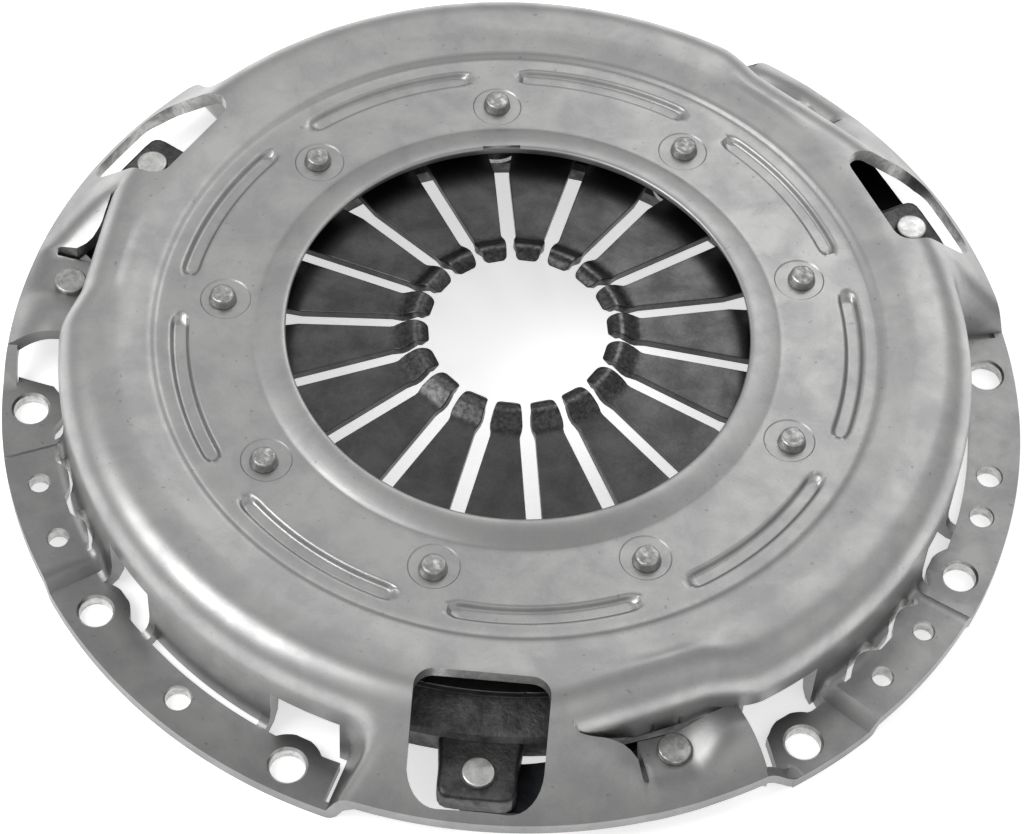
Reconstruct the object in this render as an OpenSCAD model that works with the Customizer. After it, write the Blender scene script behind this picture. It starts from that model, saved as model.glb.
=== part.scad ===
// Clutch pressure plate: a pressed steel cover that carries a diaphragm spring between two
// wire rings, and a cast pressure plate hung from the cover on three packs of spring straps.
// Millimetres. Z = 0 is the face of the cover's flange that bolts to the flywheel.

/* [Cover sheet] */
// Thickness of the pressed sheet
sheet_t = 3.6; // [3:0.1:4.2]
// Height of the crown above the flywheel face
crown_h = 33; // [31:0.5:37]
// Outer radius of the straight wall
wall_r = 118.7; // [118:0.1:119.5]
// Outer radius of the bend between crown and wall
shoulder_bend_r = 10; // [8:0.5:12]
// Radius of the opening in the middle
opening_r = 60; // [56:0.5:62]
// Height of the raised lip round the opening
lip_h = 32.6; // [32:0.1:34]
// Width of the small notch in the lip
lip_notch_w = 10; // [6:0.5:14]
// Depth of the small notch in the lip
lip_notch_depth = 0.8; // [0.4:0.1:1.2]
// Radius where the lip meets the flat seat
lip_foot_r = 68.5; // [67:0.5:70]
// Height of the flat seat that the fulcrum rivets clamp
seat_h = 30.8; // [30:0.1:31.2]
// Outer radius of the flat seat
seat_r = 93.6; // [92:0.2:95]

/* [Pressed ribs] */
// Radius of the middle of the ribs
rib_r = 87.2; // [86.8:0.1:88]
// Width of a rib
rib_w = 5; // [4:0.1:5.2]
// Depth of a rib
rib_depth = 1.3; // [0.8:0.1:1.6]
// Angle that a rib spans between its round ends
rib_span = 28; // [20:1:30]

/* [Flange] */
// Outer radius of the flange
flange_r = 134.8; // [134.2:0.1:137]
// Inner radius of the flange where it is cut free of the wall
flange_inner_r = 121.4; // [121:0.1:122]
// Radius of the circle that all the flange holes lie on
hole_circle_r = 127.2; // [126.5:0.1:128]
// Diameter of the bolt holes
bolt_hole_d = 9; // [8.4:0.1:10]
// Diameter of the dowel holes
dowel_hole_d = 8.5; // [8:0.1:8.6]
// Diameter of the tooling holes
tooling_hole_d = 6.5; // [6.2:0.1:8]
// Diameter of the extra hole beside one of the tooling holes
extra_hole_d = 6.1; // [5:0.1:6.2]
// Diameter of the small paired holes
small_hole_d = 5.2; // [4:0.1:6]
// Radius of the round lugs of metal at the bolt and dowel holes
lug_lobe_r = 8.7; // [8:0.1:8.9]
// Radius of the round lobes at the small holes
small_lobe_r = 7.7; // [7:0.1:7.9]
// Height of the section with the small holes above the flywheel face
raise_h = 3.7; // [3:0.1:5]

/* [Bridges] */
// Distance that the rim of a bridge stands back from the edge of the flange
rim_inset = 0.9; // [0.6:0.1:1.8]
// Height of the top edge of the rim
rim_h = 10.6; // [9:0.1:12]
// Height of the bottom edge of the rim
rim_low = 7; // [6:0.1:7.6]
// Rise of the sloping face for each millimetre inwards
bridge_slope = 1.043; // [1:0.001:1.1]
// Lean of the closed end of a bridge
end_lean = 18; // [5:1:25]
// Half the width of the window
window_half_w = 16.5; // [14:0.5:17]
// Radius of the inner edge of the window
window_inner_r = 105; // [103:0.5:107]
// Radius of the outer edge of the window
window_outer_r = 132.6; // [131.5:0.1:132.8]
// Radius of the wall where it is set back beside the pad
recess_r = 114.7; // [114.4:0.1:116]
// Height of the flat pad that the strap rivet clamps
pad_h = 14.3; // [13.8:0.1:15]
// Radius of the inner edge of the pad
pad_inner_r = 116; // [115.6:0.1:117]
// Radius of the notch in the wall that lets the riveting tool reach the pad
tool_notch_r = 7; // [6:0.1:7.4]
// Radius of the arched bulge beside the pad
bulge_r = 8.5; // [8:0.1:9]
// Height of the top of the bulge
bulge_h = 19.5; // [18.8:0.1:19.8]

/* [Diaphragm spring] */
// Number of fingers
finger_count = 18; // [18:18:18]
// Thickness of the spring steel
spring_t = 2.5; // [2:0.1:2.8]
// Outer radius of the spring
spring_r = 103; // [101:0.5:104]
// Radius of the circle through the finger tips
tip_r = 22.6; // [20:0.2:25]
// Width of the slots between the fingers
slot_w = 4; // [3:0.1:4.6]
// Width of the slots between the tips
tip_slot_w = 2.3; // [1.5:0.1:3]
// Length of the crowned tip of a finger
tip_len = 8.8; // [7:0.1:10]
// Rise of the crown on a finger tip
tip_crown = 1.1; // [0.5:0.1:1.5]
// Rise of the spring for each millimetre inwards at rest
spring_slope = 0.12; // [0.1:0.005:0.13]

/* [Fulcrum] */
// Radius of the circle of the fulcrum rivets
rivet_circle_r = 77; // [76:0.1:77.5]
// Number of fulcrum rivets
rivet_count = 9; // [9:9:9]
// Diameter of the rivet body between the cover and its lower head
rivet_body_d = 7; // [6.4:0.1:7.4]
// Diameter of the rivet neck in the cover
rivet_neck_d = 5.6; // [5:0.1:6]
// Diameter of the upper head
rivet_head_d = 8; // [7:0.1:9]
// Height of the upper head
rivet_head_h = 2.3; // [1.8:0.1:2.6]
// Diameter of the lower head that holds the lower ring
rivet_foot_d = 15; // [14.6:0.1:15.4]
// Thickness of the lower head
rivet_foot_t = 2; // [1.5:0.1:2.2]
// Diameter of the wire of both fulcrum rings
wire_d = 4; // [3.6:0.1:4.2]

/* [Pressure plate] */
// Inner radius of the friction face
plate_inner_r = 74.5; // [73:0.5:76]
// Outer radius of the friction face
plate_outer_r = 111.6; // [110:0.1:111.8]
// Height of the friction face above the flywheel face at rest
face_h = 5; // [4.4:0.1:5.2]
// Radius of the ridge that the spring presses on
ridge_r = 99; // [98:0.2:100]
// Width of the top of the ridge
ridge_w = 2.4; // [2:0.1:3]
// Travel of the plate from rest to full release
plate_travel = 4; // [3:0.1:4]
// Height of the top of a strap lug
lug_top_h = 11.2; // [10.8:0.1:11.4]
// Thickness of a strap lug
lug_t = 6; // [5.6:0.1:6.2]
// Radius of the front of a strap lug
lug_front_r = 127.4; // [127:0.1:127.8]
// Width of a strap lug at its front
lug_front_w = 18; // [17:0.1:19]
// Width of a strap lug at its root
lug_root_w = 21; // [20:0.1:22]

/* [Straps] */
// Number of leaves in a strap pack
leaf_count = 3; // [3:1:3]
// Thickness of a leaf
leaf_t = 0.8; // [0.6:0.05:0.85]
// Width of a leaf
leaf_w = 13.6; // [11:0.1:14]
// Radius of the circle that the strap rivets lie on
strap_circle_r = 120.7; // [120.6:0.1:121.2]
// Diameter of the strap rivets
strap_rivet_d = 6; // [5:0.1:6.4]
// Diameter of the heads of the strap rivets
strap_head_d = 7.8; // [7.4:0.1:8.4]
// Height of the upper heads of the strap rivets
strap_head_h = 2.5; // [2:0.1:2.8]
// Height of the lower heads of the strap rivets
strap_tail_h = 1.6; // [1.2:0.1:1.8]

/* [Fits] */
// Clearance between a rivet and its hole, on the radius
hole_fit = 0.05; // [0.03:0.01:0.1]
// Clearance between the rings, the spring and their seats
seat_gap = 0.03; // [0.02:0.01:0.06]

/* [Hidden] */
$fn = 96;

// Angles are counted in one third of the cover, from the bolt hole before its small holes
SECTOR_TURNS = [60, 180, 300];
SECTOR_A = 60;
SECTOR_B = 180;
SECTOR_C = 300;
second_bolt_a = 60;
dowel_a = 30;
tooling_a = 45;
extra_hole_a = 39;
small_holes_a = [12, 20];
tab_start_a = -5;
step_up_a = 6.5;
step_down_a = 25;
step_half_w = 1.6;
step_flat_w = 4;
tab_end_a = 65.3;
bridge_start_a = 66;
window_a = 81.2;
lance_a = 92;
pad_start_a = 100;
lance_slit_a = 0.9;
pad_axis_a = 107;
bulge_axis_s = 7;
bulge_reach = 9;
bulge_side_a = 40;
pad_reach = 20;
bulge_cut_a = 113.4;
rim_link_a = -5.5;
recess_a = 106;
recess_side_a = 93.4;
recess_start_a = 89;
recess_end_a = 117;
lug_a = 81.5;
pad_rivet_a = 104.3;
first_rivet_a = 10;
first_rib_a = 30;
lip_notch_a = 90;

// Openings in the wall, as start angle, end angle and height of the top edge
WALL_OPENINGS = [
    [-6.2, 4.3, 18.5],
    [27, 35.6, 19],
    [55.5, 64.7, 17]
];
// Webs that tie the flange to the wall beside the long slot, as start and end angle
WEBS = [
    [35.6, 36.8],
    [54.3, 55.5]
];
free_edge_h = 15.5;
recess_rise = 0.3;
recess_side_r = recess_r - 4.4;
lance_tip_h = 24;
lance_tip_s = -25.6;
free_edge_s = -8.5;
free_edge_end_s = 24;
facet_a = 97.2;
facet_r = 117.4;
facet_h = 21;
facet_dip = 27.5;
facet_fall = 12.4;
crown_start_r = 104;
foot_r = 120.6;
foot_gap = 1.3;
web_reach = 0.6;
rim_r = flange_r - rim_inset;
rim_join_r = flange_r - 2.3;
crown_r = wall_r - shoulder_bend_r;
wall_mid_r = wall_r - sheet_t / 2;
over = 2;
far = 160;

spring_top_h = seat_h - sheet_t - wire_d - 2 * seat_gap;
fulcrum_r = rivet_circle_r + rivet_body_d / 2 + wire_d / 2 + seat_gap;
lower_ring_h = spring_top_h - spring_v_t(spring_t) - seat_gap - wire_d / 2;
upper_ring_h = seat_h - sheet_t - seat_gap - wire_d / 2;
rivet_foot_top = lower_ring_h - wire_d / 2 - seat_gap;
coin_depth = 0.3;
coin_d = 13;
coin_offset = 0.7;

strap_half_a = (pad_rivet_a - lug_a) / 2;
strap_mid_a = (pad_rivet_a + lug_a) / 2;
strap_half_l = strap_circle_r * sin(strap_half_a);
lug_grip = 12;
pad_grip = 8.8;
pack_t = leaf_count * leaf_t;
pad_low_h = pad_h - sheet_t;
lug_low_h = lug_top_h - lug_t;

function polar(r, a) = [r * cos(a), r * sin(a)];

function arc(centre, r, a0, a1, n) =
    [for (i = [0:n]) centre + polar(r, a0 + (a1 - a0) * i / n)];

// Normal of the line from p to q, on its left
function normal(p, q) = [p[1] - q[1], q[0] - p[0]] / norm(q - p);

// Moves each point of an open path to its right by d, with mitred corners
function shift_path(p, d) =
    [for (i = [0:len(p) - 1])
        let (
            a = normal(p[max(i - 1, 0)], p[max(i, 1)]),
            b = normal(p[min(i, len(p) - 2)], p[min(i + 1, len(p) - 1)])
        )
        p[i] - d * (a + b) / (1 + a * b)];

function spring_v_t(t) = t * sqrt(1 + spring_slope * spring_slope);
function spring_top(r) = spring_top_h + spring_slope * (fulcrum_r - r);
function spring_low(r) = spring_top(r) - spring_v_t(spring_t);

// Height of the sloping face of a bridge, d below its outer surface
function bridge_h(r, d) =
    rim_h + bridge_slope * (rim_r - r) - d * sqrt(1 + bridge_slope * bridge_slope);

// Top surface of the cover from the opening to the foot of the wall
function crown_path() = concat(
    [
        [opening_r, lip_h],
        [opening_r + 3, lip_h],
        [lip_foot_r, seat_h],
        [seat_r, seat_h],
        [seat_r + 1.2, seat_h + 0.6],
        [crown_start_r, crown_h]
    ],
    arc([crown_r, crown_h - shoulder_bend_r], shoulder_bend_r, 90, 0, 8),
    [[wall_r, 0]]
);

module ring(r_in, r_out, low, high) {
    translate([0, 0, low])
        linear_extrude(high - low)
            difference() {
                circle(r_out);
                circle(r_in);
            }
}

module wedge(a0, a1) {
    polygon([
        [0, 0],
        polar(far, a0),
        polar(far / cos((a1 - a0) / 2), (a0 + a1) / 2),
        polar(far, a1)
    ]);
}

module ring_sector_2d(r_in, r_out, a0, a1) {
    intersection() {
        difference() {
            circle(r_out);
            circle(r_in);
        }
        wedge(a0, a1);
    }
}

module ring_sector(r_in, r_out, a0, a1, low, high) {
    translate([0, 0, low])
        linear_extrude(high - low)
            ring_sector_2d(r_in, r_out, a0, a1);
}

module at_polar(r, a) {
    rotate(a)
        translate([r, 0, 0])
            children();
}

// A profile drawn in the tangent and height, run out along the radius at angle a
module radial_prism(a, r0, r1) {
    rotate(a)
        translate([r0, 0, 0])
            rotate([90, 0, 90])
                linear_extrude(r1 - r0)
                    children();
}

module each_sector() {
    for (turn = SECTOR_TURNS)
        rotate(turn)
            children();
}

// Space behind a flat wall square to angle a, with the crown's bend above it, moved inwards by d
module flat_wall_space(a, r, d) {
    bend_r = r - shoulder_bend_r;
    rotate(a)
        rotate([90, 0, 0])
            translate([0, 0, -far / 2])
                linear_extrude(far)
                    polygon(concat(
                        [[0, -2 * over], [0, crown_h + 2 * over], [bend_r, crown_h + 2 * over]],
                        arc([bend_r, crown_h - shoulder_bend_r + recess_rise],
                            shoulder_bend_r - d, 90, 0, 8),
                        [[r - d, -2 * over]]
                    ));
}

// Space outside the recess that sets the wall back beside the pad, moved inwards by d
module recess(d) {
    difference() {
        ring_sector(crown_start_r, far, recess_start_a, recess_end_a, -over, crown_h + over);
        flat_wall_space(recess_a, recess_r, d);
        flat_wall_space(recess_side_a, recess_side_r, d);
    }
}

// Space under the crown's top surface, or under its inner surface when d is the sheet
module crown_space(d) {
    path = shift_path(crown_path(), d);
    start_r = d > 0 ? opening_r - 10 : opening_r;
    low = d > 0 ? -over : 0;
    difference() {
        rotate_extrude()
            polygon(concat(
                [[start_r, low], [start_r, path[0][1]]],
                path,
                [[path[len(path) - 1][0], low]]
            ));
        each_sector() recess(d);
    }
}

module bridge_profile(r_start, d) {
    join_r = crown_r + (shoulder_bend_r - d) * sin(55);
    low_r = rim_r - (rim_low - bridge_h(rim_r, d)) / bridge_slope;
    start_h = min(bridge_h(join_r, d), bridge_h(r_start, d));
    points = d > 0
        ? [
            [r_start, -over],
            [r_start, start_h],
            [max(join_r, r_start), start_h],
            [low_r, rim_low],
            [far, rim_low],
            [far, -over]
        ]
        : [
            [r_start, 0],
            [r_start, start_h],
            [max(join_r, r_start), start_h],
            [rim_r, rim_h],
            [rim_r, 0]
        ];
    polygon(points);
}

// Region between the wall and the free edge where the bridge is lanced
module lance_2d() {
    free_r = wall_r - 1.6;
    end_a = pad_start_a - 0.4;
    polygon([
        polar(crown_r - 10, lance_a),
        polar(free_r - 0.4, lance_a),
        polar(free_r, end_a - 2.6),
        polar(free_r + 1, end_a - 1.3),
        polar(free_r + 2.4, end_a - 0.3),
        polar(free_r + 5, end_a),
        polar(free_r + 10.5, end_a),
        polar(free_r + 10.5, end_a + lance_slit_a),
        polar(crown_r - 10, end_a + lance_slit_a)
    ]);
}

// Space above the flat facet that dips from the bridge to the lance, lowered by d
module above_facet(d) {
    intersection() {
        rotate(facet_a)
            translate([facet_r, 0, facet_h])
                rotate([-facet_dip, facet_fall, 0])
                    translate([-far / 2, -far / 2, -d])
                        cube(far);
        translate([0, 0, -far / 2])
            linear_extrude(far)
                wedge(window_a, pad_start_a + 1);
    }
}

// Sloping face of a bridge, with its closed end, run on to end_a
module bridge_cone(r_start, end_a, d) {
    intersection() {
        rotate(bridge_start_a - 6)
            rotate_extrude(angle = end_a - bridge_start_a + 6)
                bridge_profile(r_start, d);
        rotate(bridge_start_a)
            rotate([-end_lean, 0, 0])
                translate([0, d, -far / 2])
                    cube([far, far, far]);
    }
}

module lance() {
    translate([0, 0, -far / 2])
        linear_extrude(far)
            lance_2d();
}

// Pad and bulge seen along the radius
function pad_path() =
    let (
        centre = [bulge_axis_s, bulge_h - bulge_r],
        foot_a = 180 - asin((pad_h - centre[1]) / bulge_r)
    )
    concat(
        [[-pad_reach, pad_h]],
        arc(centre, bulge_r, foot_a, bulge_side_a, 9),
        [[bulge_axis_s + bulge_reach, pad_h]]
    );

// Space above the pad and the bulge
module above_pad() {
    path = pad_path();
    intersection() {
        radial_prism(pad_axis_a, crown_r - 8, flange_r + 5)
            polygon(concat([[-pad_reach, far]], path, [[path[len(path) - 1][0], far]]));
        translate([0, 0, -over])
            linear_extrude(far)
                wedge(pad_start_a, bulge_cut_a + 5);
    }
}

// Everything under the outer surface of a bridge, its pad and its bulge
module bridge_solid() {
    difference() {
        bridge_cone(crown_r + 3, bulge_cut_a, 0);
        above_facet(0);
        lance();
        above_pad();
        ring_sector(crown_r, pad_inner_r, pad_start_a, bulge_cut_a + 5, -over, crown_h);
    }
}

// Everything under the inner surface of a bridge
module bridge_hollow() {
    difference() {
        bridge_cone(crown_r - 5, pad_start_a, sheet_t);
        above_facet(sheet_t);
        lance();
    }
}

// Everything under the inner surface of the pad and the bulge
module pad_hollow() {
    path = shift_path(pad_path(), sheet_t);
    end_s = bulge_axis_s + bulge_reach + 3;
    intersection() {
        radial_prism(pad_axis_a, crown_r - 8, flange_r + 5)
            polygon(concat(
                [[-pad_reach, -over]],
                path,
                [[end_s, path[len(path) - 1][1]], [end_s, -over]]
            ));
        rotate(pad_start_a - 1)
            rotate_extrude(angle = bulge_cut_a - pad_start_a + 2)
                bridge_profile(crown_r - 6, sheet_t);
    }
}

module wall_cuts() {
    for (cut = WALL_OPENINGS)
        ring_sector(crown_r, wall_r + 1, cut[0], cut[1], -over, cut[2]);
    intersection() {
        radial_prism(pad_rivet_a, crown_r - 10, wall_r + 1)
            polygon([
                [lance_tip_s, -over],
                [lance_tip_s, lance_tip_h],
                [free_edge_s, free_edge_h],
                [free_edge_end_s, free_edge_h],
                [free_edge_end_s, -over]
            ]);
        ring(crown_r - 10, wall_r + 0.2, -2 * over, crown_h);
    }
    ring_sector(crown_r, wall_r + 1, step_up_a + 1, step_down_a - 1, -over, raise_h);
    at_polar(strap_circle_r, pad_rivet_a)
        translate([0, 0, free_edge_h - over])
            cylinder(h = crown_h, r = tool_notch_r);
}

module window_2d() {
    w = window_half_w;
    rotate(window_a)
        polygon(concat(
            arc([window_inner_r + 5, w - 5], 5, 180, 90, 6),
            arc([window_outer_r - 9, w - 9], 9, 90, 0, 8),
            arc([window_outer_r - 9, 9 - w], 9, 0, -90, 8),
            arc([window_inner_r + 5, 5 - w], 5, -90, -180, 6)
        ));
}

module cover_shell() {
    difference() {
        union() {
            difference() {
                crown_space(0);
                each_sector() wall_cuts();
            }
            each_sector() bridge_solid();
        }
        crown_space(sheet_t);
        each_sector() bridge_hollow();
        each_sector() pad_hollow();
        each_sector()
            translate([0, 0, -over])
                linear_extrude(crown_h + 2 * over)
                    window_2d();
    }
}

// The flange's step between two heights, rising by raise_h towards larger angles
module step(a, way) {
    intersection() {
        radial_prism(a, wall_mid_r - 5, flange_r + 5)
            scale([way, 1])
                polygon([
                    [-step_flat_w, 0],
                    [-step_half_w, 0],
                    [step_half_w, raise_h],
                    [step_flat_w, raise_h],
                    [step_flat_w, raise_h + sheet_t],
                    [step_half_w, raise_h + sheet_t],
                    [-step_half_w, sheet_t],
                    [-step_flat_w, sheet_t]
                ]);
        ring(wall_mid_r, flange_r, -over, raise_h + sheet_t + over);
    }
}

module lobes_2d(angles, r) {
    intersection() {
        circle(flange_r);
        for (a = angles)
            translate(polar(hole_circle_r, a))
                circle(r);
    }
}

module lower_flange_2d() {
    flat_a = 1.35;
    difference() {
        union() {
            ring_sector_2d(flange_inner_r, flange_r, tab_start_a, step_up_a - flat_a);
            ring_sector_2d(flange_inner_r, flange_r, step_down_a + flat_a, tab_end_a);
            ring_sector_2d(rim_join_r, flange_r, tab_end_a - 1, bridge_start_a + 1.2);
            lobes_2d([0, dowel_a, second_bolt_a], lug_lobe_r);
            for (web = WEBS)
                ring_sector_2d(wall_mid_r, flange_inner_r + web_reach, web[0], web[1]);
        }
        for (a = [0, second_bolt_a])
            translate(polar(hole_circle_r, a))
                circle(d = bolt_hole_d);
        translate(polar(hole_circle_r, dowel_a))
            circle(d = dowel_hole_d);
        translate(polar(hole_circle_r, tooling_a))
            circle(d = tooling_hole_d);
        polygon([
            polar(wall_mid_r, tab_start_a - 3),
            polar(wall_mid_r, tab_start_a + 2.4),
            polar(rim_join_r, tab_start_a + 0.2),
            polar(rim_join_r, tab_start_a - 3)
        ]);
    }
}

// Wavy slot between the raised part of the flange and the foot of the wall
module foot_slot_2d() {
    intersection() {
        difference() {
            ring_sector_2d(wall_r + 0.15, flange_inner_r + 0.5, step_up_a + 1.8, step_down_a - 1.8);
            lobes_2d(small_holes_a, small_lobe_r);
        }
        union() {
            difference() {
                circle(flange_r);
                circle(foot_r);
            }
            lobes_2d(small_holes_a, small_lobe_r + foot_gap);
        }
    }
}

module raised_flange_2d() {
    difference() {
        ring_sector_2d(wall_mid_r, flange_r, step_up_a + 1.35, step_down_a - 1.35);
        foot_slot_2d();
        for (a = small_holes_a)
            translate(polar(hole_circle_r, a))
                circle(d = small_hole_d);
    }
}

// The short sloping piece that ties the rim of a bridge to the next stretch of flange
module rim_link() {
    drop = rim_low - 0.3;
    intersection() {
        radial_prism(rim_link_a, rim_r - 10, flange_r + 5)
            polygon([
                [-3.4, drop],
                [-2.2, drop],
                [1.6, 0],
                [3.4, 0],
                [3.4, sheet_t],
                [1.6, sheet_t],
                [-2.2, drop + sheet_t],
                [-3.4, drop + sheet_t]
            ]);
        ring(rim_join_r - 0.6, rim_r + 0.3, -over, rim_h + over);
    }
}

module flange() {
    linear_extrude(sheet_t)
        lower_flange_2d();
    translate([0, 0, raise_h])
        linear_extrude(sheet_t)
            raised_flange_2d();
    step(step_up_a, 1);
    step(step_down_a, -1);
    rim_link();
}

// Rib with sloping sides: its half width at the top is w, and it is h deep
module rib(w, h, top) {
    rotate(-rib_span / 2)
        rotate_extrude(angle = rib_span)
            translate([rib_r, top])
                polygon([[-w, over], [-w, 0], [-w * 0.5, -h], [w * 0.5, -h], [w, 0], [w, over]]);
    for (side = [-1, 1])
        rotate(side * rib_span / 2)
            translate([rib_r, 0, top])
                rotate_extrude()
                    polygon([[0, over], [w, over], [w, 0], [w * 0.5, -h], [0, -h]]);
}

module each_rib() {
    for (i = [0:rivet_count - 1])
        rotate(first_rib_a + i * 360 / rivet_count)
            children();
}

module each_rivet() {
    for (i = [0:rivet_count - 1])
        rotate(first_rivet_a + i * 360 / rivet_count)
            translate([rivet_circle_r, 0, 0])
                children();
}

module cover() {
    color([0.66, 0.67, 0.67])
        difference() {
            union() {
                cover_shell();
                each_sector() flange();
            }
            each_rib() rib(rib_w / 2, rib_depth, seat_h);
            rotate(lip_notch_a)
                translate([opening_r - over, -lip_notch_w / 2, 0])
                    cube([over + lip_notch_depth, lip_notch_w, crown_h]);
            each_rivet() {
                translate([-coin_offset, 0, seat_h - coin_depth])
                    cylinder(h = over, d = coin_d);
                translate([0, 0, seat_h - sheet_t - over])
                    cylinder(h = sheet_t + 2 * over, d = rivet_neck_d + 2 * hole_fit);
            }
            each_sector()
                at_polar(strap_circle_r, pad_rivet_a)
                    translate([0, 0, pad_low_h - over])
                        cylinder(h = sheet_t + 2 * over, d = strap_rivet_d + 2 * hole_fit);
            rotate(SECTOR_C)
                at_polar(hole_circle_r, extra_hole_a)
                    translate([0, 0, -over])
                        cylinder(h = sheet_t + 2 * over, d = extra_hole_d);
        }
}

// Plan of a strap lug, with its front corners cut back
module lug_2d() {
    half_f = lug_front_w / 2;
    half_r = lug_root_w / 2;
    front_bend = 6;
    rotate(lug_a)
        polygon(concat(
            [[ridge_r + 5, half_r], [plate_outer_r, half_r]],
            arc([lug_front_r - front_bend, half_f - front_bend], front_bend, 90, 0, 6),
            arc([lug_front_r - front_bend, front_bend - half_f], front_bend, 0, -90, 6),
            [[plate_outer_r, -half_r], [ridge_r + 5, -half_r]]
        ));
}

module pressure_plate() {
    inner_top = rivet_foot_top - rivet_foot_t - plate_travel - 0.4;
    ridge_top = spring_low(ridge_r) - 2 * seat_gap - spring_slope * ridge_w / 2;
    color([0.25, 0.25, 0.26])
        difference() {
            union() {
                rotate_extrude()
                    polygon([
                        [plate_inner_r, face_h],
                        [plate_outer_r, face_h],
                        [plate_outer_r, lug_top_h],
                        [plate_outer_r - 4, lug_top_h + 2.6],
                        [ridge_r + ridge_w / 2 + 1.4, ridge_top - 2.6],
                        [ridge_r + ridge_w / 2, ridge_top],
                        [ridge_r - ridge_w / 2, ridge_top],
                        [ridge_r - ridge_w / 2 - 1.4, ridge_top - 2.6],
                        [ridge_r - 6.5, ridge_top - 4.2],
                        [rivet_circle_r + rivet_foot_d / 2 + 2, inner_top],
                        [plate_inner_r + 1, inner_top],
                        [plate_inner_r, inner_top - 1]
                    ]);
                each_sector()
                    translate([0, 0, lug_low_h])
                        linear_extrude(lug_t)
                            lug_2d();
            }
            each_sector()
                at_polar(strap_circle_r, lug_a)
                    translate([0, 0, lug_low_h - over])
                        cylinder(h = lug_t + 2 * over, d = strap_rivet_d + 2 * hole_fit);
        }
}

// Top surface of the spring, from the tip of a finger to its outer edge
function spring_path() =
    let (
        root_r = tip_r + tip_len,
        root_h = spring_top(root_r)
    )
    [
        [tip_r, root_h - 0.3],
        [tip_r + tip_len * 0.25, root_h + tip_crown * 0.8],
        [tip_r + tip_len * 0.5, root_h + tip_crown],
        [tip_r + tip_len * 0.78, root_h + tip_crown * 0.55],
        [root_r, root_h],
        [spring_r, spring_top(spring_r)]
    ];

module finger_slot_2d(wide) {
    end_r = rivet_circle_r - 1;
    half_end = wide ? rivet_body_d / 2 + 1.9 : 3.5;
    neck_r = wide ? opening_r - 3 : end_r - half_end - 1;
    translate([tip_r - over, -tip_slot_w / 2])
        square([end_r - tip_r, tip_slot_w]);
    polygon([
        [tip_r + tip_len, -slot_w / 2],
        [neck_r, -slot_w / 2],
        [end_r, -half_end],
        [end_r, half_end],
        [neck_r, slot_w / 2],
        [tip_r + tip_len, slot_w / 2]
    ]);
    translate([end_r, 0])
        circle(half_end);
}

module diaphragm_spring() {
    top = spring_path();
    v_t = spring_v_t(spring_t);
    low = [for (i = [len(top) - 1:-1:0]) top[i] - [0, v_t]];
    color([0.3, 0.31, 0.33])
        difference() {
            rotate_extrude()
                polygon(concat(top, low));
            for (i = [0:finger_count - 1])
                rotate(first_rivet_a + i * 360 / finger_count)
                    linear_extrude(crown_h + over)
                        finger_slot_2d(i % 2 == 0);
        }
}

module wire_ring(h) {
    color([0.42, 0.43, 0.45])
        rotate_extrude()
            translate([fulcrum_r, h])
                circle(d = wire_d);
}

module upper_fulcrum_ring() {
    wire_ring(upper_ring_h);
}

module lower_fulcrum_ring() {
    wire_ring(lower_ring_h);
}

// Stepped rivet: domed upper head, neck in the cover, body in the spring, wide lower head
module fulcrum_rivets() {
    head_low = seat_h - coin_depth;
    cover_low = seat_h - sheet_t;
    head_half = rivet_head_d / 2;
    foot_half = rivet_foot_d / 2;
    color([0.72, 0.72, 0.7])
        each_rivet()
            rotate_extrude()
                polygon([
                    [0, rivet_foot_top - rivet_foot_t],
                    [foot_half - 0.5, rivet_foot_top - rivet_foot_t],
                    [foot_half, rivet_foot_top - rivet_foot_t + 0.5],
                    [foot_half, rivet_foot_top],
                    [rivet_body_d / 2, rivet_foot_top],
                    [rivet_body_d / 2, cover_low],
                    [rivet_neck_d / 2, cover_low],
                    [rivet_neck_d / 2, head_low],
                    [head_half - 0.2, head_low],
                    [head_half, head_low + 0.5],
                    [head_half - 0.4, head_low + rivet_head_h * 0.55],
                    [head_half - 1.3, head_low + rivet_head_h * 0.92],
                    [head_half - 2.2, head_low + rivet_head_h],
                    [0, head_low + rivet_head_h]
                ]);
}

// Height of the underside of a strap leaf, counted from the top of the pack
function leaf_path(n) =
    let (
        pad_z = pad_low_h - n * leaf_t,
        lug_z = lug_low_h - n * leaf_t
    )
    [
        [-strap_half_l - leaf_w, lug_z],
        [lug_grip - strap_half_l, lug_z],
        [strap_half_l - pad_grip, pad_z],
        [strap_half_l + leaf_w, pad_z]
    ];

module strap_plan() {
    ring_sector_2d(strap_circle_r - leaf_w / 2, strap_circle_r + leaf_w / 2, lug_a, pad_rivet_a);
    for (a = [lug_a, pad_rivet_a])
        translate(polar(strap_circle_r, a))
            circle(d = leaf_w);
}

module strap_leaf(turn, n) {
    low = leaf_path(n);
    high = leaf_path(n - 1);
    color([0.2, 0.21, 0.24])
        rotate(turn)
            difference() {
                intersection() {
                    radial_prism(strap_mid_a, strap_circle_r - 2 * leaf_w, strap_circle_r + leaf_w)
                        polygon(concat(low, [for (i = [3:-1:0]) high[i]]));
                    linear_extrude(crown_h)
                        strap_plan();
                }
                for (a = [lug_a, pad_rivet_a])
                    at_polar(strap_circle_r, a)
                        cylinder(h = crown_h, d = strap_rivet_d + 2 * hole_fit);
            }
}

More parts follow.
